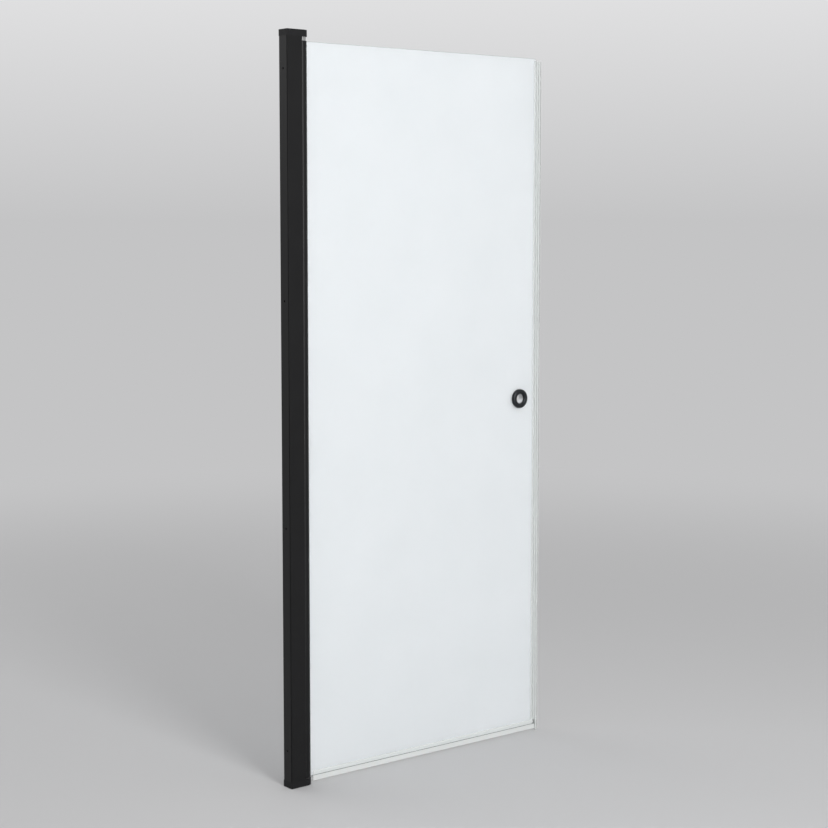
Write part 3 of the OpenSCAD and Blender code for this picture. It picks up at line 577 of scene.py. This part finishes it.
# Magnet rubber: ferrite powder in a grey vinyl strip, dull, with specks of 0.5 mm.
magnet_rubber = bpy.data.materials.new("grey_magnet_rubber")
magnet_rubber.use_nodes = True
shader = magnet_rubber.node_tree.nodes["Principled BSDF"]
shader.inputs["IOR"].default_value = 1.5
shader.inputs["Roughness"].default_value = 0.6
spot = add_node(magnet_rubber, "ShaderNodeTexCoord")
specks = add_node(magnet_rubber, "ShaderNodeTexNoise",
                  {"Vector": spot.outputs["Object"], "Scale": 1 / (0.5 * MM), "Detail": 4})
shade = add_node(magnet_rubber, "ShaderNodeValToRGB", {"Fac": specks.outputs["Fac"]})
shade.color_ramp.elements[0].color = linear("#C4C9C9")
shade.color_ramp.elements[1].color = linear("#D6DADA")
magnet_rubber.node_tree.links.new(shade.outputs["Color"], shader.inputs["Base Color"])

seal_foot, seal_head = 32.5, 1966
leg_x, box_x0, box_x1 = 423.5, 430, 438.7
leg_half, box_half, seal_t, box_r, leg_cut, film = 4.1, 5, 1.1, 0.8, 0.3, 0.05
seal_outline = [
    (leg_x + leg_cut, -leg_half), (box_x0, -leg_half),
    (box_x0, -box_half + leg_cut), (box_x0 + leg_cut, -box_half),
    *arc(box_x1 - box_r, -box_half + box_r, box_r, -90, 0, 4),
    *arc(box_x1 - box_r, box_half - box_r, box_r, 0, 90, 4),
    (box_x0 + leg_cut, box_half), (box_x0, box_half - leg_cut),
    (box_x0, leg_half), (leg_x + leg_cut, leg_half),
    (leg_x, leg_half - leg_cut), (leg_x, glass_half + film), (box_x0 + film, glass_half + film),
    (box_x0 + film, -glass_half - film), (leg_x, -glass_half - film), (leg_x, -leg_half + leg_cut),
]
seal_box = [(box_x0 + seal_t, -box_half + seal_t), (box_x1 - seal_t, -box_half + seal_t),
            (box_x1 - seal_t, box_half - seal_t), (box_x0 + seal_t, box_half - seal_t)]
seal = extruded("closing_seal_extrusion",
                [[(x, y, seal_foot) for x, y in line] for line in (seal_outline, seal_box)],
                (0, 0, seal_head - seal_foot))
smooth(seal)
seal.data.materials.append(clear_pvc)
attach(seal, "door")
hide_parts("closing_seal")

finish_node("door_magnet", magnet_rubber)


# Strike: a fixed box for the other magnet, with a stop behind the closed door and a plug in
# each end. Extruded clear PVC, stuck up along its back with a foam tape.
strike_foot, strike_head = 2, 1964
strike_x0, strike_x1, strike_half, strike_r = 439.1, 449, 5, 0.8
cavity_x0, cavity_x1, cavity_half = 440.2, 445.8, 3.9
stop_x, stop_y0, stop_y1, stop_r = 431.1, 5.35, 6.95, 0.6
strike_outline = [
    *arc(strike_x0 + strike_r, -strike_half + strike_r, strike_r, 180, 270, 4),
    (strike_x1, -strike_half), (strike_x1, stop_y1),
    *arc(stop_x + stop_r, stop_y1 - stop_r, stop_r, 90, 180, 4),
    (stop_x, stop_y0), (cavity_x0, stop_y0), (cavity_x0, strike_half),
    *arc(strike_x0 + strike_r, strike_half - strike_r, strike_r, 90, 180, 4),
]
strike_cavity = [(cavity_x0, -cavity_half), (cavity_x1, -cavity_half),
                 (cavity_x1, cavity_half), (cavity_x0, cavity_half)]
strike = extruded("strike_profile_extrusion",
                  [[(x, y, strike_foot) for x, y in line] for line in (strike_outline, strike_cavity)],
                  (0, 0, strike_head - strike_foot))
smooth(strike)
strike.data.materials.append(clear_pvc)
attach(strike, "frame")
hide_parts("strike_profile")

# Foam tape: closed-cell white foam, matt, with open cells of 0.6 mm along its cut edges.
foam_tape = bpy.data.materials.new("white_foam_tape")
foam_tape.use_nodes = True
shader = foam_tape.node_tree.nodes["Principled BSDF"]
shader.inputs["Roughness"].default_value = 0.9
shader.inputs["Specular IOR Level"].default_value = 0.2
spot = add_node(foam_tape, "ShaderNodeTexCoord")
cells = add_node(foam_tape, "ShaderNodeTexVoronoi",
                 {"Vector": spot.outputs["Object"], "Scale": 1 / (0.6 * MM)})
shade = add_node(foam_tape, "ShaderNodeValToRGB", {"Fac": cells.outputs["Distance"]})
shade.color_ramp.elements[0].color = linear("#D8D8D8")
shade.color_ramp.elements[1].color = linear("#EEEEEE")
foam_tape.node_tree.links.new(shade.outputs["Color"], shader.inputs["Base Color"])

finish_node("strike_magnet", magnet_rubber)
finish_node("strike_tape", foam_tape)
finish_node("strike_end_plugs", clear_pvc)


# Drip seal: two legs pushed on the glass's lower edge, a skirt that hangs down in front and a
# fin behind that throws the water back on the wet side. Extruded clear PVC.
drip_x0, drip_legs_x1, drip_x1 = -369.5, 430, 437.5
drip_half, drip_base, drip_top, drip_glass = 4, 18.8, 32, 20
drip_fin = [(drip_half, 19), (5.1, 16.3), (6.6, 13.2), (8, 10.8),
            (7, 10.8), (5.7, 13.1), (4.2, 16.2), (3.1, drip_base)]
drip_skirt = [(-3, drip_base), (-2.75, 16), (-2.2, 10), (-1.5, 4),
              (-2.5, 4), (-3.2, 10), (-3.75, 16), (-drip_half, drip_base)]
drip_outline = [
    (-drip_half, drip_top - leg_cut), (-drip_half + leg_cut, drip_top), (-glass_half - film, drip_top),
    (-glass_half - film, drip_glass - film), (glass_half + film, drip_glass - film),
    (glass_half + film, drip_top), (drip_half - leg_cut, drip_top), (drip_half, drip_top - leg_cut),
    *drip_fin, *drip_skirt,
]
drip = extruded("drip_seal_extrusion", [[(drip_x0, y, z) for y, z in drip_outline]],
                (drip_x1 - drip_x0, 0, 0))
# Past the glass's end the legs and the fin are cut off, and only the web and the skirt run on
cut_side, cut_foot, cut_head = 9, 9, 33
cut_outline = [
    (-drip_half - 1, drip_glass), (drip_half, drip_glass), (drip_half, drip_base), (glass_half, drip_base),
    (glass_half, cut_foot), (cut_side, cut_foot), (cut_side, cut_head), (-drip_half - 1, cut_head),
]
waste = extruded("waste", [[(drip_legs_x1, y, z) for y, z in cut_outline]],
                 (drip_x1 - drip_legs_x1 + 1, 0, 0))
combine(drip, waste, "DIFFERENCE")
# An edge all round at the glass's foot, so that the web can carry a painted shade line of its own
bpy.ops.object.mode_set(mode="EDIT")
bpy.ops.mesh.select_all(action="SELECT")
bpy.ops.mesh.bisect(plane_co=(0, 0, drip_glass * MM), plane_no=(0, 0, 1))
bpy.ops.object.mode_set(mode="OBJECT")
smooth(drip)

# The same PVC, milkier, with its draw lines along this piece, which lies level.
level_pvc = clear_pvc.copy()
level_pvc.name = "clear_soft_pvc_level"
level_pvc.node_tree.nodes["Principled BSDF"].inputs["Transmission Weight"].default_value = 0.15
level_pvc.node_tree.nodes["Mapping"].inputs["Scale"].default_value = (0.0005, 1, 1)
# The web under the glass gets a dark grey-green colour: painted shade for the joint under the glass's edge,
# which shows as a thin dark line.
web_painted_shade_pvc = level_pvc.copy()
web_painted_shade_pvc.name = "clear_soft_pvc_painted_shade_line"
web_painted_shade_pvc.node_tree.nodes["Principled BSDF"].inputs["Alpha"].default_value = 0.9
shade = web_painted_shade_pvc.node_tree.nodes["Color Ramp"]
shade.color_ramp.elements[0].color = linear("#4E5C57")
shade.color_ramp.elements[1].color = linear("#5E6C67")

drip.data.materials.append(level_pvc)
drip.data.materials.append(web_painted_shade_pvc)
# The faces of the web, between its base and the glass's foot, take the painted shade line.
for face in drip.data.polygons:
    face.material_index = int(drip_base - 0.1 < face.center.z / MM < drip_glass)
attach(drip, "door")
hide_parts("drip_seal")


# Ring pull: two rings, one on each face of the glass, on a steel sleeve through the hole, with a
# clear pad under each and a grub screw in the inner one. The rings are turned from aluminium.

# Black anodised aluminium, turned and blasted: a satin blue-black metal skin with a broad soft
# highlight, and a grain of 0.4 mm that is drawn as coarse as it needs to show.
anodised = bpy.data.materials.new("black_anodised_aluminium")
anodised.use_nodes = True
shader = anodised.node_tree.nodes["Principled BSDF"]
shader.inputs["Metallic"].default_value = 0.5
spot = add_node(anodised, "ShaderNodeTexCoord")
blast = add_node(anodised, "ShaderNodeTexNoise",
                 {"Vector": spot.outputs["Object"], "Scale": 1 / (0.4 * MM), "Detail": 3})
shade = add_node(anodised, "ShaderNodeValToRGB", {"Fac": blast.outputs["Fac"]})
shade.color_ramp.elements[0].color = linear("#1B1D20")
shade.color_ramp.elements[1].color = linear("#26292D")
dull = add_node(anodised, "ShaderNodeMapRange",
                {"Value": blast.outputs["Fac"], "To Min": 0.24, "To Max": 0.34})
bump = add_node(anodised, "ShaderNodeBump",
                {"Height": blast.outputs["Fac"], "Strength": 0.15, "Distance": 0.03 * MM})
anodised.node_tree.links.new(shade.outputs["Color"], shader.inputs["Base Color"])
anodised.node_tree.links.new(dull.outputs["Result"], shader.inputs["Roughness"])
anodised.node_tree.links.new(bump.outputs["Normal"], shader.inputs["Normal"])

ring_in, ring_out, ring_seat, ring_face, ring_r, ring_cut = 14, 27.5, 4, 14, 5, 0.3
socket_r, front_socket, back_socket = 16.6, 6, 11
sleeve_r, screw_r, screw_y = 16.5, 1.5, 7
socket_turn = math.degrees(math.asin((back_socket - (ring_face - ring_r)) / ring_r))
ring_profile = [
    (socket_r, ring_seat), (ring_out - ring_cut, ring_seat), (ring_out, ring_seat + ring_cut),
    *arc(ring_out - ring_r, ring_face - ring_r, ring_r, 0, 90, 14),
]
# The front ring's throat covers the sleeve's end, and the back ring's deeper socket takes the other
front_throat = [*arc(ring_in + ring_r, ring_face - ring_r, ring_r, 90, 180, 14),
                (ring_in, front_socket), (socket_r, front_socket)]
back_throat = [*arc(ring_in + ring_r, ring_face - ring_r, ring_r, 90, 180 - socket_turn, 12),
               (socket_r, back_socket)]
for name, node, side, throat in (
    ("knob_front_ring_turning", "knob_front_ring", -1, front_throat),
    ("knob_back_ring_turning", "knob_back_ring", 1, back_throat),
):
    ring = turned(name, [(knob_x + r, side * y, knob_z) for r, y in ring_profile + throat],
                  (knob_x, 0, knob_z), (0, 1, 0), 96)
    if side > 0:
        bore = [(knob_x, screw_y, knob_z - sleeve_r + 1), (knob_x + screw_r, screw_y, knob_z - sleeve_r + 1),
                (knob_x + screw_r, screw_y, knob_z - ring_out - 1), (knob_x, screw_y, knob_z - ring_out - 1)]
        combine(ring, turned("screw_bore", bore, (knob_x, screw_y, knob_z), (0, 0, 1), 24), "DIFFERENCE")
    smooth(ring)
    ring.data.materials.append(anodised)
    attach(ring, "door")
    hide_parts(node)

finish_node("knob_sleeve", stainless)
finish_node("knob_set_screw", stainless)
finish_node("knob_gasket_front", clear_pvc)
finish_node("knob_gasket_back", clear_pvc)


# Studio: a plain pale floor that fades into the backdrop, a soft light all round, a broad lamp
# in front and one behind the glass, and the camera at the photograph's angle.
def seen_ray(owner):
    """1 for the rays that show the backdrop itself: straight, in a gloss or through glass."""
    path = add_node(owner, "ShaderNodeLightPath")
    direct = add_node(owner, "ShaderNodeMath", operation="MAXIMUM",
                      inputs={0: path.outputs["Is Camera Ray"], 1: path.outputs["Is Glossy Ray"]})
    through = add_node(owner, "ShaderNodeMath", operation="MAXIMUM",
                       inputs={0: direct.outputs["Value"], 1: path.outputs["Is Transmission Ray"]})
    return through.outputs["Value"]


backdrop = linear("#C4C4C5")
bpy.ops.object.select_all(action="DESELECT")
bpy.ops.mesh.primitive_plane_add(size=60, location=(0, 0, 0))
floor = bpy.context.object
floor.name = "floor"
pale_floor = bpy.data.materials.new("pale_studio_floor")
pale_floor.use_nodes = True
shader = pale_floor.node_tree.nodes["Principled BSDF"]
shader.inputs["Base Color"].default_value = linear("#C6C6C7")
shader.inputs["Roughness"].default_value = 0.7
shader.inputs["Specular IOR Level"].default_value = 0.2
spot = add_node(pale_floor, "ShaderNodeTexCoord")
reach = add_node(pale_floor, "ShaderNodeVectorMath", {0: spot.outputs["Object"]}, operation="LENGTH")
fade = add_node(pale_floor, "ShaderNodeMapRange",
                {"Value": reach.outputs["Value"], "From Min": 1.5, "From Max": 6.0},
                interpolation_type="SMOOTHSTEP")
faded = add_node(pale_floor, "ShaderNodeMath",
                 {0: fade.outputs["Result"], 1: seen_ray(pale_floor)}, operation="MULTIPLY")
far = add_node(pale_floor, "ShaderNodeEmission", {"Color": backdrop})
mix = add_node(pale_floor, "ShaderNodeMixShader",
               {0: faded.outputs["Value"], 1: shader.outputs["BSDF"], 2: far.outputs["Emission"]})
pale_floor.node_tree.links.new(mix.outputs["Shader"],
                               pale_floor.node_tree.nodes["Material Output"].inputs["Surface"])
floor.data.materials.append(pale_floor)

world = bpy.data.worlds.new("studio")
bpy.context.scene.world = world
world.use_nodes = True
world.node_tree.nodes.clear()
spot = add_node(world, "ShaderNodeTexCoord")
height = add_node(world, "ShaderNodeSeparateXYZ", {"Vector": spot.outputs["Generated"]})
rise = add_node(world, "ShaderNodeValToRGB", {"Fac": height.outputs["Z"]})
rise.color_ramp.elements[0].position = 0.0
rise.color_ramp.elements[0].color = backdrop
rise.color_ramp.elements[1].position = 0.16
rise.color_ramp.elements[1].color = linear("#E8E8E9")
seen = add_node(world, "ShaderNodeBackground", {"Color": rise.outputs["Color"], "Strength": 1})
light = add_node(world, "ShaderNodeBackground", {"Color": linear("#FFFFFF"), "Strength": 0.62})
either = add_node(world, "ShaderNodeMixShader",
                  {0: seen_ray(world), 1: light.outputs["Background"], 2: seen.outputs["Background"]})
add_node(world, "ShaderNodeOutputWorld", {"Surface": either.outputs["Shader"]})

# Name, place, what it faces, width, height and watts
for name, place, target, width, height, power in (
    ("front_lamp", (-0.9, -4.2, 2.3), (0, 0, 1.3), 1.3, 4.0, 142),
    ("back_lamp", (-0.9, 2.8, 3.2), (-0.3, 0, 1.5), 2.4, 2.4, 20),
):
    lamp = bpy.data.lights.new(name, "AREA")
    lamp.shape, lamp.size, lamp.size_y, lamp.energy = "RECTANGLE", width, height, power
    holder = bpy.data.objects.new(name, lamp)
    bpy.context.collection.objects.link(holder)
    holder.location = place
    holder.rotation_euler = (Vector(target) - Vector(place)).to_track_quat("-Z", "Y").to_euler()
    holder.visible_camera = False

camera = bpy.data.cameras.new("camera")
camera.lens, camera.sensor_width, camera.shift_y = 78.1, 36, -0.03
eye = bpy.data.objects.new("camera", camera)
bpy.context.collection.objects.link(eye)
eye.location = (-3.1152, -3.8625, 1.5088)
eye.rotation_euler = (math.radians(90 - 5.356), 0, math.radians(-38.727))
bpy.context.scene.camera = eye
bpy.context.scene.view_settings.view_transform = "Standard"
